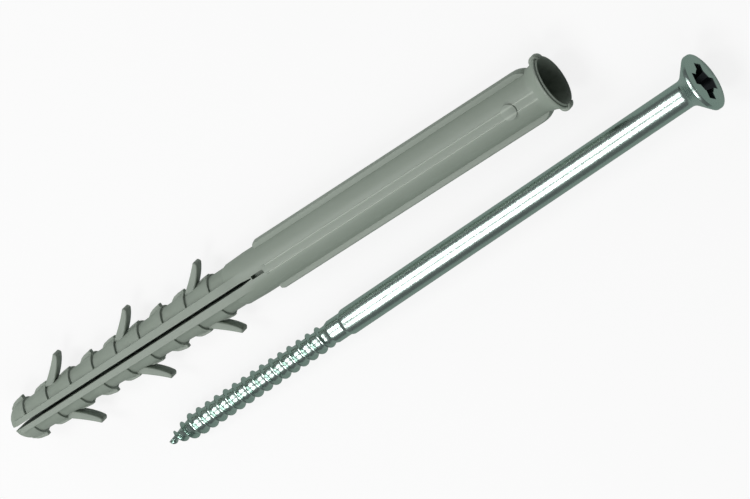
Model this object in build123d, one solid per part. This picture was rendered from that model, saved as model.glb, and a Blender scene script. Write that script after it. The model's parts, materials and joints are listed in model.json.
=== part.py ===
"""A frame fixing: a moulded nylon sleeve and the countersunk screw that spreads it.

Each piece is built on its own axis, which is X, with its tip at x = 0 and its head or
collar toward +X. It is then laid down on the floor, z = 0, as it would come to rest.
The side ribs and wings of the sleeve lie in its XY plane, and its slot faces up and down.
All sizes are in millimetres.
"""
from build123d import *
import math
import os

os.makedirs("parts", exist_ok=True)

# Sleeve, along its axis
sleeve_length = 145.4
barrel_start = 61.6        # foot of the short step up from the barbs' core
barrel_step_length = 0.6
barrel_full = 67.0         # full barrel diameter from here to the collar
slot_straight_length = 64.5
slot_through_length = 67.7  # it narrows to a point over the last few millimetres
slot_pocket_start = 68.2
slot_end = 71.4
rib_start = 71.2
rib_end = 140.4
bore_length = 67.0         # full bore, from the foot of the mouth's seat
bore_taper_length = 3.6    # it ends where the slot starts
pilot_start = 7.0          # closed nose in front of the pilot bore

# Sleeve, across its axis
barrel_diameter = 9.8
barrel_front_diameter = 9.44
core_front_diameter = 7.5  # between the barbs: it grows evenly from the tip
core_back_diameter = 8.86  # to the barrel
rib_span = 11.7            # across the two side ribs
rib_width = 4.0
strip_width = 2.0
strip_height = 0.12
rail_width = 3.4           # flat band that the slot runs in
slot_width = 0.6
slot_tip_width = 0.24
pocket_depth = 0.9
bore_clearance = 0.3       # on the radius, round the screw's shank
pilot_diameter = 3.6

# Barbs and wings
barb_count = 9
barb_pitch = 6.5
first_barb = 5.8           # crest of the nose, which is the first barb
barb_height = 0.5          # of the step behind a crest, and of the rails
tooth_heights = 1.1, 0.9, 0.7     # over the core: nose, winged barb, barb after it
tooth_length = 3.8
tooth_depth = 1.3          # up and down
nose_outline = (0, 1.3), (0.35, 2.15), (1.2, 3.1), (2.6, 3.95)    # as (along, out)
wing_outer = (11.6, 3.8), (15.4, 6.55), (18.15, 8.95)   # three points on each face of the
wing_inner = (13.3, 3.3), (16.45, 5.95), (18.55, 8.2)   # first wing, as (along, out)
wing_depth = 3.0

# Collar
collar_rim_diameter = 12.0
collar_length = 4.0        # flare and rim
collar_rim_length = 0.5
rim_wall = 0.7
mouth_diameter = 8.4       # behind the flare, before the seat for the head's cone
mouth_depth = 6.0
ear_radius = 1.2
ear_span = 12.9            # across the two ears
ear_height = 2.2
ear_setback = 1.1          # from the rim's face to the middle of an ear

# Screw, along its axis
screw_length = 145.0
thread_length = 46.5
thread_runout = 1.4
point_length = 8.0
neck_length = 3.4          # thinner, between thread and shank
head_land = 0.9
thread_pitch = 2.56
thread_start = 2.2

# Screw, across its axis
shank_diameter = 5.8
thread_diameter = 5.5
root_diameter = 3.9
neck_diameter = 4.7
head_diameter = 12.4
head_cone_angle = 90.0
head_fillet = 1.8
thread_root_width = 1.5
land_edge = 0.15

# Cross recess of the head
recess_depth = 3.4
recess_arm_width = 2.2
recess_arm_reach = 4.2
recess_floor_share = 0.5   # size of the floor against the mouth
recess_turn = 61.0         # degrees, about the screw's axis
tick_inner = 2.9
tick_outer = 4.2
tick_width = 0.3
tick_depth = 0.25

# How the two pieces lie beside each other
screw_lead = 26.5          # from the sleeve's tip to the screw's tip, along X
screw_gap = 20.2           # between the two axes at the screw's tip
screw_turn = 1.6           # degrees, in plan

barrel_radius = barrel_diameter / 2
bore_radius = shank_diameter / 2 + bore_clearance
rim_radius = collar_rim_diameter / 2
mouth_radius = mouth_diameter / 2
seat_length = (mouth_radius - bore_radius) / math.tan(math.radians(head_cone_angle / 2))
seat_foot = sleeve_length - mouth_depth - seat_length


def profile_face(points):
    """A face in the XY plane through (along, out) points, closed along the axis."""
    corners = [(points[0][0], 0)] + points + [(points[-1][0], 0)]
    return make_face(Polyline(*corners, close=True))


def turned(points):
    """A solid of revolution about X."""
    return revolve(profile_face(points), Axis.X)


def barb_crest(index):
    return first_barb + index * barb_pitch


def core_at(along):
    """Radius of the core between the barbs."""
    share = along / barrel_start
    return (core_front_diameter * (1 - share) + core_back_diameter * share) / 2


def sleeve_outside():
    """Nose, nine barbs, barrel and the flared collar, as one turned form."""
    outline = list(nose_outline)
    for index in range(barb_count):
        core = core_at(barb_crest(index))
        outline += [(barb_crest(index), core + barb_height), (barb_crest(index), core)]
    outline += [
        (barrel_start, core_at(barrel_start)),
        (barrel_start + barrel_step_length, barrel_front_diameter / 2),
        (barrel_full, barrel_radius),
        (sleeve_length - collar_length, barrel_radius),
        (sleeve_length - collar_rim_length, rim_radius),
        (sleeve_length, rim_radius),
    ]
    return turned(outline)


def sleeve_bore():
    """The hollow: a flared mouth, a seat, the clearance bore, a taper and the pilot."""
    bore_end = seat_foot - bore_length
    taper_end = bore_end - bore_taper_length
    pilot_radius = pilot_diameter / 2
    lip_radius = rim_radius - rim_wall
    return turned([
        (pilot_start, pilot_radius),
        (taper_end, pilot_radius),
        (bore_end, bore_radius),
        (seat_foot, bore_radius),
        (seat_foot + seat_length, mouth_radius),
        (sleeve_length - collar_length, mouth_radius),
        (sleeve_length, lip_radius),
        (sleeve_length + 1, lip_radius),
    ])


def plate(points, depth):
    """A flat piece in the rib plane, as deep up and down as given."""
    return extrude(make_face(Polyline(*points, close=True)), depth / 2, both=True)


def tooth(index):
    """The pointed side of a barb, on the +Y side."""
    crest = barb_crest(index)
    core = core_at(crest)
    height = tooth_heights[index % 3]
    return plate([
        (crest - tooth_length, core - 1),
        (crest - tooth_length, core - 0.1),
        (crest - tooth_length * 0.7, core + height * 0.6),
        (crest, core + height),
        (crest, core - 1),
    ], tooth_depth)


def wing(index):
    """A bowed, swept-back wing on the +Y side."""
    outer, inner = ThreePointArc(*wing_outer), ThreePointArc(*wing_inner)
    ends = Line(outer @ 0, inner @ 0), Line(outer @ 1, inner @ 1)
    blade = extrude(make_face([outer, inner, *ends]), wing_depth / 2, both=True)
    return Pos(index * 3 * barb_pitch, 0, 0) * blade


def side_rib():
    """The long round-ended rib on the +Y side of the barrel."""
    rib_length = rib_end - rib_start
    middle = (rib_start + rib_end) / 2
    outline = Plane.XZ * Pos(middle, 0, 0) * SlotOverall(rib_length, rib_width)
    block = extrude(outline, -rib_span)
    round_bar = Pos(middle, 0, 0) * Rot(0, 90, 0) * Cylinder(rib_span / 2, rib_length)
    return block & round_bar


def block_between(x0, x1, width, height):
    """A box on the axis from x0 to x1."""
    return Pos((x0 + x1) / 2, 0, 0) * Box(x1 - x0, width, height)


def rails():
    """The flat band on top and below, which rises with the core."""
    start, end = nose_outline[-1][0], barrel_start + barrel_step_length
    top, end_top = core_at(start) + barb_height, core_at(end) + barb_height
    side_view = Polyline((start, top), (end, end_top), (end, -end_top), (start, -top), close=True)
    return extrude(Plane.XZ * make_face(side_view), rail_width / 2, both=True)


def ears():
    """Two small round ears on the rim, one above each rib."""
    reach = ear_span / 2 - ear_radius
    knob = Cylinder(ear_radius, ear_height)
    return [Pos(sleeve_length - ear_setback, side * reach, 0) * knob for side in (1, -1)]


def make_sleeve():
    body = sleeve_outside()
    body += rails()
    strip_top = barrel_diameter + 2 * strip_height
    strip_end = sleeve_length - collar_length * 0.7
    body += block_between(slot_end, strip_end, strip_width, strip_top)
    one_side = [side_rib()]
    one_side += [tooth(index) for index in range(barb_count)]
    one_side += [wing(index) for index in range(barb_count // 3)]
    for piece in one_side:
        body += piece
        body += mirror(piece, Plane.XZ)
    for ear in ears():
        body += ear
    body -= sleeve_bore()
    half, half_tip = slot_width / 2, slot_tip_width / 2
    body -= plate([
        (-1, -half),
        (slot_straight_length, -half),
        (slot_through_length, -half_tip),
        (slot_through_length, half_tip),
        (slot_straight_length, half),
        (-1, half),
    ], barrel_diameter * 2)
    for side in (1, -1):
        pocket_floor = side * (barrel_radius - pocket_depth)
        pocket = block_between(slot_pocket_start, slot_end, slot_width, pocket_depth * 2)
        body -= Pos(0, 0, pocket_floor + side * pocket_depth) * pocket
    return body


def screw_shank():
    """Neck, shank, cone and head land, as one turned form behind the thread."""
    shank, head, neck = shank_diameter / 2, head_diameter / 2, neck_diameter / 2
    shank_start = thread_length + neck_length
    land_start = screw_length - head_land
    cone_start = land_start - (head - shank) / math.tan(math.radians(head_cone_angle / 2))
    face = profile_face([
        (thread_length, neck),
        (shank_start, neck),
        (shank_start + shank - neck, shank),
        (cone_start, shank),
        (land_start, head),
        (screw_length - land_edge, head),
        (screw_length, head - land_edge),
    ])
    corner = face.vertices().sort_by_distance(Vector(cone_start, shank))[0]
    return revolve(fillet(corner, head_fillet), Axis.X)


def outside_of(points):
    """Everything near the axis that lies outside a turned outline of (along, out) points."""
    far = head_diameter
    first, last = points[0], points[-1]
    ring = Polyline(*points, (last[0], far), (first[0], far), close=True)
    return revolve(make_face(ring), Axis.X)


def thread_ridge():
    """A sharp right-hand helical ridge, from the point to just before the neck."""
    foot = root_diameter / 2 - 0.15
    crest = thread_diameter / 2
    height = thread_length - thread_root_width / 2 - 0.25 - thread_start
    path = Helix(pitch=thread_pitch, height=height, radius=crest)
    corners = [(foot, -thread_root_width / 2), (foot, thread_root_width / 2), (crest, 0)]
    section = Plane.XZ * make_face(Polyline(*corners, close=True))
    ridge = sweep(section, path, is_frenet=True)
    return Pos(thread_start, 0, 0) * Rot(0, 90, 0) * ridge


def threaded_end():
    """The core with its thread, turned down to the point and to the thread's run-out."""
    root, crest = root_diameter / 2, thread_diameter / 2
    overrun = thread_pitch * 3
    length = thread_length + 2 * overrun
    core = Pos(thread_length / 2, 0, 0) * Rot(0, 90, 0) * Cylinder(root, length)
    past = 1.2
    point = outside_of([(-overrun * past, 0), (0, 0), (point_length * past, crest * past)])
    runout = outside_of([
        (thread_length - 2 * thread_runout, crest * 1.1),
        (thread_length - thread_runout * 0.3, root - 0.05),
        (thread_length + overrun * 1.2, root - 0.05),
    ])
    surplus_start = thread_length + neck_length / 2
    surplus = block_between(surplus_start, surplus_start + overrun * 2, head_diameter, head_diameter)
    return core + thread_ridge() - point - runout - surplus


def cross_recess():
    """The tapered cross and the short ticks between its arms."""
    mouth_plane = Plane(origin=(screw_length, 0, 0), x_dir=(0, -1, 0), z_dir=(1, 0, 0))
    width, length, share = recess_arm_width, recess_arm_reach * 2, recess_floor_share
    arms = []
    for turn in (0, 90):
        top = Rectangle(width, length)
        bottom = Pos(0, 0, -recess_depth) * Rectangle(width * share, length * share)
        arms.append(Rot(0, 0, turn) * loft([top.face(), bottom.face()]))
    tick_length = tick_outer - tick_inner
    for turn in range(45, 360, 90):
        tick = Pos((tick_inner + tick_outer) / 2, 0, 0) * Box(tick_length, tick_width, tick_depth * 2)
        arms.append(Rot(0, 0, turn) * tick)
    return [mouth_plane.location * Rot(0, 0, recess_turn) * arm for arm in arms]


def make_screw():
    body = threaded_end() + screw_shank()
    for cut in cross_recess():
        body -= cut
    return body


def laid(piece, front, back):
    """Tilts a piece so that its front and back rims, each (along, radius), meet the floor."""
    tilt = math.degrees(math.atan2(back[1] - front[1], back[0] - front[0]))
    piece = Rot(0, -tilt, 0) * piece
    return Pos(0, 0, -piece.bounding_box().min.Z) * piece


def make_parts():
    nose_rim = core_at(first_barb) + barb_height
    sleeve_rims = (first_barb, nose_rim), (sleeve_length, rim_radius)
    screw_rims = (point_length, thread_diameter / 2), (screw_length - head_land, head_diameter / 2)
    sleeve = laid(make_sleeve(), *sleeve_rims)
    screw = laid(make_screw(), *screw_rims)
    screw = Pos(screw_lead, -screw_gap, 0) * Rot(0, 0, screw_turn) * screw
    whole = sleeve.bounding_box().add(screw.bounding_box())
    centre = Pos(-whole.center().X, -whole.center().Y, 0)
    return {"sleeve": centre * sleeve, "screw": centre * screw}


for name, part in make_parts().items():
    export_step(part, f"parts/{name}.step")
    box = part.bounding_box()
    print(name, "solids", len(part.solids()), "volume", round(part.volume, 1), "size", box.size)
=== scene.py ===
# %% [markdown]
# A frame fixing is a pair: a long moulded nylon sleeve that goes through a window frame
# into the wall, and a countersunk steel screw that spreads the sleeve's slotted end.
# The measured solids are loaded first. They are the frame that everything here fits.

# %% Load the frame
import json
import math

import bpy
from mathutils import Matrix, Vector


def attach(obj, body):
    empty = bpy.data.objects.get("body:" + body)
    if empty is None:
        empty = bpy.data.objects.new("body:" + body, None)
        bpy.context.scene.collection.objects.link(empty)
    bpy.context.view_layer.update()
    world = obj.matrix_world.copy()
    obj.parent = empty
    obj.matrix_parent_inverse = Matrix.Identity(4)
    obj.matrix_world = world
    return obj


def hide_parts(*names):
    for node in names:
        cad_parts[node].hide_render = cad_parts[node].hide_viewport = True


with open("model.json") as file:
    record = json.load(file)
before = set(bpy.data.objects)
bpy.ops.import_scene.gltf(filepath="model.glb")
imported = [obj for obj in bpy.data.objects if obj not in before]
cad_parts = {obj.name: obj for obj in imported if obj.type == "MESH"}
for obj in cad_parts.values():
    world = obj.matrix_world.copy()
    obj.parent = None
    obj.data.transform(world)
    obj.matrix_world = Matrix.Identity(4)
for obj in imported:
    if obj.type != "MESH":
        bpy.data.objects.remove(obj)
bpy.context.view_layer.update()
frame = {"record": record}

MM = 0.001
AROUND = 128               # steps round every turned form

# %% [markdown]
# The driving sizes are in millimetres. Most are those of the solids. A few, such as the
# width of the slot and the ends of the ribs, differ a little from them. Each piece is
# modelled along its own X axis with its tip at zero, which keeps every number readable,
# and is scaled to metres only when it is laid in its place.

# %% Sizes of the sleeve
sleeve_length = 145.4
barrel_start = 61.6
barrel_full = 67.0
slot_straight_length = 65.0
slot_through_length = 67.7
slot_pocket_start = 67.9
slot_end = 71.0
rib_start, rib_end = 70.75, 141.9
bore_length = 67.0
bore_taper_length = 3.6
pilot_start = 7.0
barrel_radius = 4.9
barrel_front_radius = 4.72
core_front_radius, core_back_radius = 3.75, 4.43
rib_span = 11.7
rib_width = 4.0
strip_width = 2.1
bead_radius, bead_height = 0.22, 0.12
disc_x, disc_radius, disc_height = 135.6, 1.7, 0.2
rail_front_width, rail_back_width = 3.1, 4.4
slot_width, slot_tip_width = 0.8, 0.24
pocket_depth = 1.2
bore_radius = 3.2
pilot_radius = 1.8
barb_count, barb_pitch, first_barb = 9, 6.5, 5.8
barb_height = 0.5
tooth_heights = 1.26, 0.9, 0.7
tooth_length = 3.8
tooth_depth = 1.3
tooth_setback = 0.03       # keeps the back of a tooth clear of the barb's step
wing_outer = (11.6, 3.8, 0), (15.9, 6.7, 0), (18.15, 8.95, 0)
wing_inner = (18.75, 8.2, 0), (17.6, 6.0, 0), (13.9, 3.3, 0)
wing_steps = 12
wing_depth = 3.0
wing_pitch = barb_pitch * 3
rim_radius = 6.0
rim_wall = 0.7
mouth_radius = 4.2
mouth_depth = 6.0
collar_length = 4.0
ear_radius, ear_reach, ear_height, ear_setback = 1.35, 6.5, 2.2, 0.85
seat_length = mouth_radius - bore_radius    # the seat is a cone of 90 degrees
seat_foot = sleeve_length - mouth_depth - seat_length

# %% Sizes of the screw
screw_length = 145.0
thread_length = 46.5
thread_pitch = 2.56
point_length = 8.0
neck_length = 3.4
shank_radius = 2.9
crest_of_thread = 2.75
root_of_thread = 2.1
neck_radius = 2.55
head_radius = 6.2
head_land = 0.9
recess_depth = 3.4
recess_turn = 61.0
recess_floor_share = 0.6   # size of the floor against the mouth
recess_arms = (0, 1.25, 4.1), (90, 1.25, 4.1), (45, 0.8, 2.75), (135, 0.8, 2.75)  # turn, half width, reach

# %% [markdown]
# Both pieces are tilted a little, because they rest on their thickest rings. The mounts
# in the record give each axis, so the matrix that lays a piece down is read from them.

# %% Where each piece lies
mounts = {mount["name"]: mount for mount in frame["record"]["mounts"]}


def lying(mount_name, along):
    """The matrix from a piece's own millimetres to its place. The mount lies along from the tip."""
    mount = mounts[mount_name]
    axis = Vector(mount["axis"]).normalized()
    side = Vector((0, 0, 1)).cross(axis).normalized()
    up = axis.cross(side)
    tip = Vector(mount["pos_m"]) - axis * along * MM
    turned = Matrix((axis, side, up)).transposed().to_4x4()
    return Matrix.Translation(tip) @ turned @ Matrix.Scale(MM, 4)


sleeve_place = lying("sleeve_bore", seat_foot - bore_length / 2)
screw_place = lying("drive_recess", screw_length)
print("sleeve tip", sleeve_place.translation, "screw tip", screw_place.translation)

# %% [markdown]
# Every form starts as a line of points drawn in edit mode, one vertex extruded after the
# other. The line is then spun into a turned form, or filled and drawn out into a plate.

# %% Tools for drawing forms


def use(piece):
    """Makes one piece the only one that the operators act on."""
    if bpy.context.mode != "OBJECT":
        bpy.ops.object.mode_set(mode="OBJECT")
    bpy.ops.object.select_all(action="DESELECT")
    if piece:
        piece.select_set(True)
        bpy.context.view_layer.objects.active = piece


def drawn(name, points):
    """A line through points, drawn by extruding one vertex. It stays open in edit mode."""
    use(None)
    bpy.ops.mesh.primitive_plane_add(size=1)
    piece = bpy.context.object
    piece.name = piece.data.name = name
    bpy.ops.object.mode_set(mode="EDIT")
    bpy.ops.mesh.merge(type="CENTER")
    here = Vector((0, 0, 0))
    bpy.ops.transform.translate(value=Vector(points[0]) - here)
    here = Vector(points[0])
    for point in points[1:]:
        bpy.ops.mesh.extrude_region_move(TRANSFORM_OT_translate={"value": Vector(point) - here})
        here = Vector(point)
    bpy.ops.mesh.select_all(action="SELECT")
    return piece


def closed_up(piece, merge=0.0005):
    """Merges doubles, turns the faces outwards and leaves edit mode."""
    bpy.ops.mesh.select_all(action="SELECT")
    bpy.ops.mesh.remove_doubles(threshold=merge)
    bpy.ops.mesh.normals_make_consistent(inside=False)
    bpy.ops.object.mode_set(mode="OBJECT")
    return piece


def turned(name, outline, steps=AROUND):
    """A turned form: an outline of (along, radius) points spun about the X axis."""
    piece = drawn(name, [(x, 0, r) for x, r in outline])
    bpy.ops.mesh.spin(steps=steps, angle=math.tau, center=(0, 0, 0), axis=(1, 0, 0))
    return closed_up(piece)


def prism(name, outline, start, travel):
    """A filled outline of (across, up) points, moved to start and drawn out by travel."""
    piece = drawn(name, [Vector(start) + Vector(point) for point in outline])
    bpy.ops.mesh.edge_face_add()
    bpy.ops.mesh.extrude_region_move(TRANSFORM_OT_translate={"value": travel})
    return closed_up(piece)


def finished_with(piece, kind, **settings):
    """Adds a modifier with its settings and applies it."""
    use(piece)
    modifier = piece.modifiers.new(kind.title(), kind)
    for key, value in settings.items():
        setattr(modifier, key, value)
    bpy.ops.object.modifier_apply(modifier=modifier.name)
    return piece


def softened(piece, width, segments=3, angle=35):
    """Rounds every edge that is sharper than the angle, then merges what came together."""
    finished_with(
        piece, "BEVEL", width=width, segments=segments, limit_method="ANGLE",
        angle_limit=math.radians(angle),
    )
    bpy.ops.object.mode_set(mode="EDIT")
    return closed_up(piece)


def combined(piece, other, operation):
    """Joins, cuts or meets a piece with another solid, which is used up."""
    finished_with(piece, "BOOLEAN", object=other, operation=operation, solver="EXACT")
    bpy.data.objects.remove(other)
    return piece


def copy_of(piece, matrix):
    """A copy with its own mesh, moved by a matrix. A mirrored copy is turned right side out."""
    other = piece.copy()
    other.data = piece.data.copy()
    bpy.context.scene.collection.objects.link(other)
    other.data.transform(matrix)
    if matrix.determinant() < 0:
        other.data.flip_normals()
    return other


def curve_through(start, middle, end, count):
    """Points on a smooth bend from start to end that leans towards the middle point."""
    start, middle, end = Vector(start), Vector(middle), Vector(end)
    steps = [index / count for index in range(count + 1)]
    return [start * (1 - t) ** 2 + middle * 2 * t * (1 - t) + end * t ** 2 for t in steps]


# %% [markdown]
# The sleeve's turned form carries the nose, nine barbs, the barrel and the flared collar.
# A barb is a smooth swell that ends in a small step, so each one has the same few points.

# %% The turned form of the sleeve
def barb_crest(index):
    return first_barb + index * barb_pitch


def core_at(x):
    """Radius of the core between the barbs, which grows evenly towards the barrel."""
    share = x / barrel_start
    return core_front_radius * (1 - share) + core_back_radius * share


def barb_outline(index):
    """From the core behind the last step up to this barb's rounded crest and its step."""
    crest = barb_crest(index)
    rises = [(-0.72, 0.0), (-0.62, 0.06), (-0.52, 0.2), (-0.42, 0.42), (-0.32, 0.63), (-0.2, 0.82)]
    rises += [(-0.045, 0.98), (-0.02, 1.0), (-0.005, 0.92), (0.0, 0.75), (0.0, 0.12), (0.01, 0.0)]
    points = [(crest + share * barb_pitch, height * barb_height) for share, height in rises]
    return [(x, core_at(x) + height) for x, height in points]


outline = [(0.3, 0), (0.3, 1.15), (0.38, 1.5), (0.62, 2.15), (1.0, 2.7), (1.42, 3.1), (1.98, 3.52)]
outline += [(2.7, 3.9), (3.6, 4.1)]
outline += barb_outline(0)[5:]
for index in range(1, barb_count):
    outline += barb_outline(index)
flare_start = sleeve_length - collar_length
outline += [
    (barrel_start - 0.15, core_back_radius),
    (barrel_start + 0.15, core_back_radius + 0.05),
    (barrel_start + 0.45, barrel_front_radius - 0.1),
    (barrel_start + 0.75, barrel_front_radius),
    (barrel_full, barrel_radius),
    (flare_start - 0.2, barrel_radius),
]
outer_flare = curve_through(
    (flare_start, barrel_radius), (flare_start + 1.5, barrel_radius + 0.1),
    (sleeve_length - 1.2, rim_radius - 0.16), 8,
)
outline += [(p.x, p.y) for p in outer_flare]
outline += [
    (sleeve_length - 0.95, rim_radius - 0.03),
    (sleeve_length - 0.75, rim_radius),
    (sleeve_length - 0.52, rim_radius - 0.02),
    (sleeve_length - 0.42, rim_radius - 0.1),
    (sleeve_length - 0.42, rim_radius - 0.36),
    (sleeve_length - 0.1, rim_radius - 0.4),
    (sleeve_length, rim_radius - 0.48),
    (sleeve_length, 0),
]
sleeve = turned("sleeve", outline)
print("turned form", len(sleeve.data.polygons), "faces")

# %% [markdown]
# A flat rail runs along both sides of the slot. It widens towards the barrel and sinks
# into it. Two low beads with a plain disc between them mark a strip along the barrel.

# %% Rails and strip
rail_top = [(2.6, core_at(2.6) + barb_height - 0.1), (3.4, core_at(3.4) + barb_height)]
rail_top += [(59.0, core_at(59.0) + barb_height), (62.6, barrel_front_radius), (66.5, 4.05)]
side_view = [(x, 0, z) for x, z in rail_top] + [(x, 0, -z) for x, z in reversed(rail_top)]
rails = prism("rails", side_view, (0, -0.5, 0), (0, 1, 0))
for vertex in rails.data.vertices:
    share = (vertex.co.x - 2.6) / (60 - 2.6)
    vertex.co.y *= rail_front_width * (1 - share) + rail_back_width * share
sleeve = combined(sleeve, softened(rails, 0.14), "UNION")
bead_offset = strip_width / 2 - bead_radius
bead_centre = math.sqrt(barrel_radius ** 2 - bead_offset ** 2) + bead_height - bead_radius
bead_start, bead_end = slot_end + 0.33, sleeve_length - 2.13
rod = [(bead_start, 0), (bead_start, bead_radius), (bead_end, bead_radius), (bead_end, 0)]
bead = turned("bead", rod, 14)
for side in (1, -1):
    for level in (1, -1):
        aside = Matrix.Translation((0, side * bead_offset, level * bead_centre))
        sleeve = combined(sleeve, copy_of(bead, aside), "UNION")
bpy.data.objects.remove(bead)
upright = Matrix.Rotation(math.radians(90), 4, "Y")
disc_top = barrel_radius + disc_height
disc = turned("disc", [(-disc_top, 0), (-disc_top, disc_radius), (disc_top, disc_radius), (disc_top, 0)], 64)
disc = softened(disc, 0.08)
disc.data.transform(Matrix.Translation((disc_x, 0, 0)) @ upright)
sleeve = combined(sleeve, disc, "UNION")
print("with rails", len(sleeve.data.polygons), "faces")

# %% [markdown]
# Two long ribs stop the sleeve from turning in its hole. A slab through the sleeve meets a
# turned bar, which gives both ribs their curved outer face and their rounded ends.

# %% Side ribs
half_span = rib_span / 2
profile = [(rib_start, 0), (rib_start, half_span - 0.4), (rib_start + 0.13, half_span - 0.14)]
profile += [(rib_start + 0.45, half_span), (rib_end - 3.2, half_span + 0.06), (rib_end - 2.3, half_span)]
profile += [(rib_end - 1.6, half_span - 0.16), (rib_end - 0.9, half_span - 0.46)]
profile += [(rib_end - 0.4, half_span - 0.8), (rib_end, half_span - 1.25), (rib_end, 0)]
bar = turned("bar", profile)
w = rib_width / 2
slab = [(rib_start - 1, 0, -w), (rib_end + 1, 0, -w), (rib_end + 1, 0, w), (rib_start - 1, 0, w)]
ribs = prism("ribs", slab, (0, -rib_span, 0), (0, rib_span * 2, 0))
ribs = softened(combined(ribs, bar, "INTERSECT"), 0.22)
sleeve = combined(sleeve, ribs, "UNION")
print("with ribs", len(sleeve.data.polygons), "faces")

# %% [markdown]
# In the plane of the ribs the barbs have flat teeth, and every third barb carries a bowed
# wing that folds away in the hole. One of each is drawn, and the rest are copies.

# %% Teeth and wings


def tooth(index):
    """The tooth of one barb, on the +Y side."""
    crest = barb_crest(index)
    core, height = core_at(crest), tooth_heights[index % 3]
    rises = [(-1, -0.05), (-0.85, 0.25), (-0.7, 0.55), (-0.5, 0.76), (-0.1, 0.98), (0, 0.95)]
    if index % 3 == 1:
        rises = [(-1, 0.0), (-0.86, 0.42), (-0.7, 0.78), (-0.5, 0.93), (-0.1, 1.0), (0, 0.95)]
    outline = [(crest - tooth_length, 3)] + [(crest + x * tooth_length, core + y * height) for x, y in rises]
    flat = [(x, y, 0) for x, y in outline + [(crest, 3)]]
    return softened(prism("tooth", flat, (0, 0, -tooth_depth / 2), (0, 0, tooth_depth)), 0.13)


def wing():
    """The first wing on the +Y side."""
    outer = curve_through(*wing_outer, wing_steps)
    inner = curve_through(*wing_inner, wing_steps)
    return softened(prism("wing", outer + inner, (0, 0, -wing_depth / 2), (0, 0, wing_depth)), 0.3, 4)


def on_both_sides(piece, distance):
    """Joins two copies to the sleeve, one on each side, moved along X."""
    moved = Matrix.Translation((distance, 0, 0))
    for side in (1, -1):
        combined(sleeve, copy_of(piece, moved @ Matrix.Scale(side, 4, (0, 1, 0))), "UNION")


blade = wing()
for index in range(barb_count):
    model = tooth(index)
    on_both_sides(model, -tooth_setback)
    bpy.data.objects.remove(model)
    if index % 3 == 1:
        on_both_sides(blade, (index // 3) * wing_pitch)
bpy.data.objects.remove(blade)
print("with teeth and wings", len(sleeve.data.polygons), "faces")

# %% [markdown]
# Two small ears on the rim stand over the ribs.

# %% Ears
ear_x = sleeve_length - ear_setback
half_ear = ear_height / 2
rod = [(-half_ear, 0), (-half_ear, ear_radius), (half_ear, ear_radius), (half_ear, 0)]
ear = softened(turned("ear", rod, 48), 0.3)
for side in (1, -1):
    beside = Matrix.Translation((ear_x, side * (ear_reach - ear_radius), 0))
    combined(sleeve, copy_of(ear, beside @ upright), "UNION")
bpy.data.objects.remove(ear)

# %% [markdown]
# What is hollow is cut last: the mouth and bore, the slot that lets the end spread, and
# the shallow pocket where the slot stops. The cutters carry the chamfers.

# %% Bore, slot and pockets
bore_end = seat_foot - bore_length
taper_end = bore_end - bore_taper_length
lip_radius = rim_radius - rim_wall
inner_flare = curve_through(
    (seat_foot + seat_length + 1.5, mouth_radius), (flare_start + 1.2, mouth_radius + 0.1),
    (sleeve_length - 0.3, lip_radius - 0.15), 8,
)
bore = turned("bore", [
    (pilot_start, 0), (pilot_start, pilot_radius), (taper_end, pilot_radius), (bore_end, bore_radius),
    (seat_foot, bore_radius), (seat_foot + seat_length, mouth_radius), *[(p.x, p.y) for p in inner_flare],
    (sleeve_length - 0.12, lip_radius - 0.02), (sleeve_length + 0.02, lip_radius + 0.1),
    (sleeve_length + 1, lip_radius + 0.1), (sleeve_length + 1, 0),
], 96)
sleeve = combined(sleeve, bore, "DIFFERENCE")
half, half_tip = slot_width / 2, slot_tip_width / 2
slot_plan = [(-1, -0.6), (0.3, -0.52), (0.95, -half)]
slot_plan += [(slot_straight_length, -half), (slot_through_length, -half_tip)]
slot_plan += [(x, -y) for x, y in reversed(slot_plan)]
slot = prism("slot", [(x, y, 0) for x, y in slot_plan], (0, 0, -8), (0, 0, 16))
sleeve = combined(sleeve, slot, "DIFFERENCE")
for side in (1, -1):
    floor_z = side * (barrel_radius - pocket_depth)
    ends = slot_pocket_start, slot_end
    square = [(ends[0], -half, 0), (ends[1], -half, 0), (ends[1], half, 0), (ends[0], half, 0)]
    pocket = prism("pocket", square, (0, 0, floor_z), (0, 0, side * 2))
    sleeve = combined(sleeve, pocket, "DIFFERENCE")
print("cut sleeve", len(sleeve.data.polygons), "faces")

# %% [markdown]
# The screw's skin is one surface. One pitch of the thread's section is drawn and swept in
# a helix, so its end meets the next turn. Each point is then drawn in to the point's cone
# or to the neck, and the rest of the screw is spun with as many steps and joined to it.

# %% The thread
SCREW_STEPS = 96
half_crest = 0.08


def thread_section():
    """(along, height) over one pitch, with height 0 at the root and 1 at the crest."""
    rise = [(0.0, 0.0), (0.07, 0.05), (0.34, 0.78), (0.40, 0.95), (0.45, 1.0)]
    start = thread_pitch / 2 - 0.45 - half_crest
    up = [(start + x, height) for x, height in rise]
    down = [(thread_pitch - x, height) for x, height in reversed(up)]
    return [(0.0, 0.0)] + up + down + [(thread_pitch, 0.0)]


def thread_reach(x):
    """Radius of the core and of the crest at a distance from the tip."""
    share = min(max(x / point_length, 0), 1)
    core = root_of_thread * min(share * 1.02, 1)
    crest = crest_of_thread * min((0.25 + share * 0.85), 1) if x > 0.7 else core
    fade = min(max((thread_length - 0.4 - x) / 1.8, 0), 1)
    return core, core + (crest - core) * fade


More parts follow.
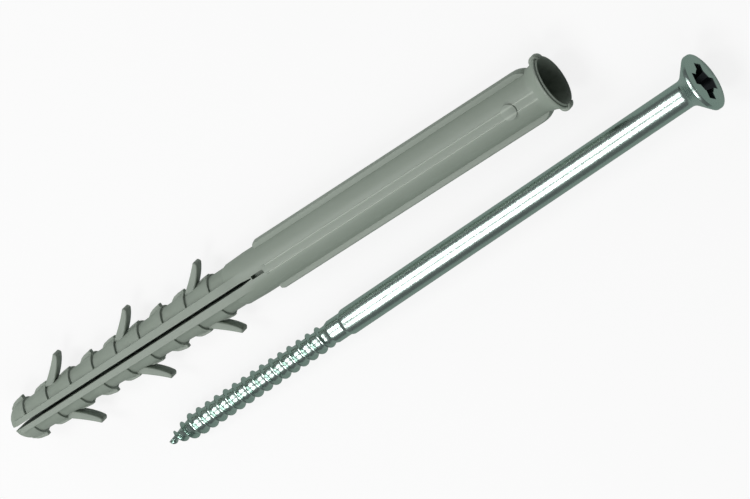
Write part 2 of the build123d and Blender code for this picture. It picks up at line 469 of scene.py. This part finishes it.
turns = math.ceil(thread_length / thread_pitch) + 2
lead = -thread_pitch * 1.5 + 0.6
thread = drawn("thread", [(lead + x, 0, 1 + height) for x, height in thread_section()])
bpy.ops.object.mode_set(mode="OBJECT")
thread = finished_with(
    thread, "SCREW", axis="X", screw_offset=thread_pitch, iterations=turns, steps=SCREW_STEPS,
    render_steps=SCREW_STEPS, use_merge_vertices=True, merge_threshold=0.0005, use_normal_calculate=True,
)
for vertex in thread.data.vertices:
    x, y, z = vertex.co
    reach = math.hypot(y, z)
    height = reach - 1
    core, crest = thread_reach(x)
    radius = core + (crest - core) * height
    if x > thread_length:
        x, radius = thread_length, neck_radius
    else:
        blend = min(max((x - thread_length + 1.2) / 1.2, 0), 1)
        radius = radius + (neck_radius - radius) * blend if x > thread_length - 1.2 else radius
    if x < 0:
        x, radius = 0, 0
    vertex.co = (x, y / reach * radius, z / reach * radius)
use(thread)
bpy.ops.object.mode_set(mode="EDIT")
closed_up(thread)
print("thread", len(thread.data.polygons), "faces")

# %% [markdown]
# Neck, shank, cone and head are turned, and the cross recess is cut into the head before
# the two halves are joined, so the cut has few faces to deal with.

# %% Neck, shank and head
shank_start = thread_length + neck_length
land_start = screw_length - head_land
cone_start = land_start - (head_radius - shank_radius)
outline = [(thread_length, neck_radius), (thread_length + 0.3, neck_radius)]
outline += [(shank_start - 0.4, neck_radius), (shank_start - 0.1, neck_radius + 0.01)]
outline += [(shank_start, neck_radius + 0.05)]
outline += [(shank_start + 0.5, shank_radius - 0.06), (shank_start + 0.75, shank_radius)]
for share in (0.1, 0.3, 0.5, 0.7, 0.9):
    outline.append((shank_start + share * (cone_start - shank_start), shank_radius))
fillet = curve_through(
    (cone_start - 1.0, shank_radius), (cone_start, shank_radius),
    (cone_start + 0.8, shank_radius + 0.8), 10,
)
outline += [(p.x, p.y) for p in fillet]
outline += [(land_start - 0.1, head_radius - 0.12), (land_start, head_radius - 0.03)]
outline += [(land_start + 0.1, head_radius), (screw_length - 0.2, head_radius)]
outline += [(screw_length - 0.07, head_radius - 0.05), (screw_length, head_radius - 0.18)]
outline += [(screw_length, 0)]
screw = turned("screw", outline, SCREW_STEPS)

# %% The cross recess


def cross_cutter():
    """A cross with short arms in its corners. It narrows towards the floor."""
    cross = None
    for turn, w, r in recess_arms:
        d = recess_depth
        arm = drawn("arm", [(0, -w, -r), (0, w, -r), (0, w, r), (0, -w, r)])
        bpy.ops.mesh.edge_face_add()
        bpy.ops.mesh.extrude_region_move(TRANSFORM_OT_translate={"value": (-d, 0, 0)})
        narrowed = (1, recess_floor_share, recess_floor_share)
        bpy.ops.transform.resize(value=narrowed, center_override=(-d, 0, 0))
        arm = closed_up(arm)
        arm.data.transform(Matrix.Rotation(math.radians(turn), 4, "X"))
        cross = combined(cross, arm, "UNION") if cross else arm
    return cross


cutter = cross_cutter()
at_head = Matrix.Translation((screw_length + 0.001, 0, 0))
cutter.data.transform(at_head @ Matrix.Rotation(math.radians(recess_turn), 4, "X"))
screw = combined(screw, cutter, "DIFFERENCE")
thread.select_set(True)
screw.select_set(True)
bpy.context.view_layer.objects.active = screw
bpy.ops.object.join()
bpy.ops.object.mode_set(mode="EDIT")
closed_up(screw)
print("screw", len(screw.data.polygons), "faces")

# %% [markdown]
# Each finished piece is laid in its place inside its mesh, takes the place of its solid
# and rides with the body that the solid belongs to.

# %% Lay the pieces down
pieces = ("sleeve", sleeve, sleeve_place, "nylon"), ("screw", screw, screw_place, "zinc")
for node, piece, where, slot_name in pieces:
    piece.data.transform(where)
    use(piece)
    bpy.ops.object.shade_smooth_by_angle(angle=math.radians(33))
    piece.name = piece.data.name = node + "_dressed"
    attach(piece, "root")
    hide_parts(node)

# %% [markdown]
# Shader sums are written as plain expressions. A small class wraps a socket, so that
# adding, multiplying and the like put the right node between two of them.

# %% Tools for finishes


class Wire:
    """An output socket that can stand in a sum."""

    def __init__(self, finish, socket):
        self.finish, self.socket = finish, socket

    def sum_with(self, operation, first, second):
        return self.finish.node("ShaderNodeMath", {0: first, 1: second}, operation=operation)

    def __add__(self, other):
        return self.sum_with("ADD", self, other)

    def __radd__(self, other):
        return self.sum_with("ADD", other, self)

    def __sub__(self, other):
        return self.sum_with("SUBTRACT", self, other)

    def __rsub__(self, other):
        return self.sum_with("SUBTRACT", other, self)

    def __mul__(self, other):
        return self.sum_with("MULTIPLY", self, other)

    def __rmul__(self, other):
        return self.sum_with("MULTIPLY", other, self)


class Finish:
    """A node tree with one method that adds any node from its settings and sockets."""

    def __init__(self, owner):
        owner.use_nodes = True
        self.tree = owner.node_tree
        self.tree.nodes.clear()

    def node(self, kind, sockets=None, output=0, **settings):
        made = self.tree.nodes.new(kind)
        for name, value in settings.items():
            setattr(made, name, value)
        for key, value in (sockets or {}).items():
            if isinstance(value, Wire):
                self.tree.links.new(value.socket, made.inputs[key])
            else:
                made.inputs[key].default_value = value
        return Wire(self, made.outputs[output]) if len(made.outputs) else made


# %% [markdown]
# Nylon is grey green and a little mottled, and a painted highlight, a paler colour, follows the two upper
# beads.
# Zinc is bright, and painted shade, a darker colour, fills the recess. Both painted marks are found by
# place.

# %% Nylon
# Where the painted highlight on the upper beads starts and ends, by height and along the sleeve.
highlight_low, highlight_start, highlight_end = 0.0094, -0.0138, 0.0565    # metres, from the frame's origin
nylon = bpy.data.materials.new("nylon")
sheet = Finish(nylon)
spot = sheet.node("ShaderNodeTexCoord", output="Object")
mottle = sheet.node("ShaderNodeTexNoise", {"Vector": spot, "Scale": 90.0, "Detail": 3.0})
grain = sheet.node("ShaderNodeTexNoise", {"Vector": spot, "Scale": 2600.0, "Detail": 2.0})
colour = sheet.node(
    "ShaderNodeMix", {0: mottle, 6: (0.235, 0.278, 0.232, 1), 7: (0.265, 0.308, 0.262, 1)},
    output=2, data_type="RGBA",
)
across = sheet.node("ShaderNodeSeparateXYZ", {"Vector": spot}, output="Y")
above = sheet.node("ShaderNodeSeparateXYZ", {"Vector": spot}, output="Z")
along = sheet.node("ShaderNodeSeparateXYZ", {"Vector": spot}, output="X")
off_axis = sheet.node("ShaderNodeMath", {0: across - sleeve_place.translation.y}, operation="ABSOLUTE")
bead_line = bead_offset * MM
off_bead = sheet.node("ShaderNodeMath", {0: off_axis - bead_line}, operation="ABSOLUTE")
near_bead = sheet.node("ShaderNodeMath", {0: 1.0 - off_bead * 2800.0, 1: 0.0}, operation="MAXIMUM")
on_top = sheet.node("ShaderNodeMath", {0: above, 1: highlight_low}, operation="GREATER_THAN")
behind_slot = sheet.node("ShaderNodeMath", {0: along, 1: highlight_start}, operation="GREATER_THAN")
before_rim = sheet.node("ShaderNodeMath", {0: along, 1: highlight_end}, operation="LESS_THAN")
# Painted highlight: the upper beads get a paler colour that stands in for the light they catch.
painted_bead_highlight = near_bead * on_top * behind_slot * before_rim
colour = sheet.node(
    "ShaderNodeMix", {0: painted_bead_highlight * 0.8, 6: colour, 7: (0.42, 0.47, 0.41, 1)}, output=2, data_type="RGBA",
)
bump = sheet.node("ShaderNodeBump", {"Height": grain, "Strength": 0.08, "Distance": 0.0001})
shader = sheet.node("ShaderNodeBsdfPrincipled", {
    "Base Color": colour, "Roughness": 0.42 + 0.12 * mottle, "IOR": 1.5, "Normal": bump,
})
sheet.node("ShaderNodeOutputMaterial", {"Surface": shader})
sleeve.data.materials.clear()
sleeve.data.materials.append(nylon)

# %% Zinc
screw_axis = Vector(mounts["drive_recess"]["axis"]).normalized()
zinc = bpy.data.materials.new("zinc")
sheet = Finish(zinc)
spot = sheet.node("ShaderNodeTexCoord", output="Object")
streaks = sheet.node("ShaderNodeTexNoise", {"Vector": spot, "Scale": 1500.0, "Detail": 2.0})
bump = sheet.node("ShaderNodeBump", {"Height": streaks, "Strength": 0.14, "Distance": 0.0001})
# Painted shade: inside the cross recess the zinc gets a darker colour that stands in for the shade there.
head_centre = screw_place @ Vector((screw_length, 0, 0))
from_head = sheet.node("ShaderNodeVectorMath", {0: spot, 1: head_centre}, operation="SUBTRACT")
depth = sheet.node(
    "ShaderNodeVectorMath", {0: from_head, 1: screw_axis}, output="Value", operation="DOT_PRODUCT",
)
reach = sheet.node("ShaderNodeVectorMath", {0: from_head}, output="Value", operation="LENGTH")
off_axis = sheet.node("ShaderNodeMath", {0: reach * reach - depth * depth, 1: 0.5}, operation="POWER")
inside = sheet.node("ShaderNodeMath", {0: depth, 1: -0.12 * MM}, operation="LESS_THAN")
near_axis = sheet.node("ShaderNodeMath", {0: off_axis - depth * 0.45, 1: 4.25 * MM}, operation="LESS_THAN")
deepest = -(recess_depth + 0.3) * MM
not_deeper = sheet.node("ShaderNodeMath", {0: depth, 1: deepest}, operation="GREATER_THAN")
painted_recess_shade = inside * near_axis * not_deeper
colour = sheet.node(
    "ShaderNodeMix", {0: painted_recess_shade, 6: (0.58, 0.72, 0.66, 1), 7: (0.11, 0.12, 0.13, 1)},
    output=2, data_type="RGBA",
)
shader = sheet.node("ShaderNodeBsdfPrincipled", {
    "Base Color": colour, "Metallic": 1.0, "Roughness": 0.2 + 0.12 * streaks, "Normal": bump,
})
sheet.node("ShaderNodeOutputMaterial", {"Surface": shader})
screw.data.materials.clear()
screw.data.materials.append(zinc)

# %% [markdown]
# The floor is plain and pale. The camera sees it nearly white, and it keeps a soft shadow.
# Metal sees the floor as a mid grey and the room as nearly dark, which gives it dark bands.

# %% Floor and world
use(None)
bpy.ops.mesh.primitive_plane_add(size=8)
floor = bpy.context.object
floor.name = "floor"
ground = bpy.data.materials.new("floor")
sheet = Finish(ground)
camera_ray = sheet.node("ShaderNodeLightPath", output="Is Camera Ray")
glossy_ray = sheet.node("ShaderNodeLightPath", output="Is Glossy Ray")
paper = sheet.node("ShaderNodeBsdfDiffuse", {"Color": (0.8, 0.8, 0.8, 1)})
glow = sheet.node("ShaderNodeEmission", {"Color": (1, 1, 1, 1), "Strength": 1.0})
grey = sheet.node("ShaderNodeEmission", {"Color": (0.26, 0.30, 0.28, 1), "Strength": 1.0})
seen = sheet.node("ShaderNodeMixShader", {0: camera_ray * 0.85, 1: paper, 2: glow})
seen = sheet.node("ShaderNodeMixShader", {0: glossy_ray, 1: seen, 2: grey})
sheet.node("ShaderNodeOutputMaterial", {"Surface": seen})
floor.data.materials.append(ground)

world = bpy.data.worlds.new("studio")
bpy.context.scene.world = world
sheet = Finish(world)
camera_ray = sheet.node("ShaderNodeLightPath", output="Is Camera Ray")
white = sheet.node("ShaderNodeBackground", {"Color": (1, 1, 1, 1), "Strength": 1.0})
glossy_ray = sheet.node("ShaderNodeLightPath", output="Is Glossy Ray")
dim = 0.04 + 0.08 * glossy_ray
room = sheet.node("ShaderNodeBackground", {"Color": (0.95, 0.98, 1.0, 1), "Strength": dim})
seen = sheet.node("ShaderNodeMixShader", {0: camera_ray, 1: room, 2: white})
sheet.node("ShaderNodeOutputWorld", {"Surface": seen})

# %% [markdown]
# The camera stands where the photograph was taken, far away with a long lens and a little
# rolled. Two soft boxes light both pieces and show in the metal. Two larger fills light
# them from the sides and are hidden from rays off the metal.

# %% Camera and lamps
focal_length, picture_width = 5018.6, 750    # both in pixels
camera_data = bpy.data.cameras.new("camera")
camera = bpy.data.objects.new("camera", camera_data)
bpy.context.scene.collection.objects.link(camera)
bpy.context.scene.camera = camera
right = Vector((0.76419, -0.57457, -0.29305))
up = Vector((0.48978, 0.81257, -0.31597))
back = Vector((0.41967, 0.09793, 0.90238))
turn = Matrix((right, up, back)).transposed().to_4x4()
camera.matrix_world = Matrix.Translation(Vector((431.7, 97.0, 920.3)) * MM) @ turn
camera_data.sensor_width = 36.0
camera_data.lens = focal_length / picture_width * camera_data.sensor_width
camera_data.clip_start, camera_data.clip_end = 0.05, 20

towards_camera = back.normalized()
lean = -towards_camera.dot(screw_axis)
upward = (towards_camera + screw_axis * lean).normalized()
sideways = screw_axis.cross(upward)
lamp_distance = 0.9


def soft_box(name, along, angle, size, radiance, seen_in_metal):
    """A square lamp aimed at the pieces. The angle is measured round the screw's axis."""
    around = upward * math.cos(math.radians(angle)) + sideways * math.sin(math.radians(angle))
    z = screw_axis * along + around * math.sqrt(1 - along * along)
    x = screw_axis.cross(z).normalized()
    y = z.cross(x)
    lamp = bpy.data.lights.new(name, "AREA")
    lamp.shape, lamp.size = "SQUARE", size
    lamp.energy = radiance * math.pi * size * size
    holder = bpy.data.objects.new(name, lamp)
    bpy.context.scene.collection.objects.link(holder)
    holder.matrix_world = Matrix.Translation(z * lamp_distance) @ Matrix((x, y, z)).transposed().to_4x4()
    holder.visible_glossy = seen_in_metal


for side in (1, -1):
    soft_box("soft_box", lean, 22.5 * side, 0.32, 9.6, True)
soft_box("fill_left", -0.3, -68, 0.6, 2.5, False)
soft_box("fill_right", -0.05, 55, 0.6, 2.4, False)

scene = bpy.context.scene
scene.view_settings.view_transform = "Standard"
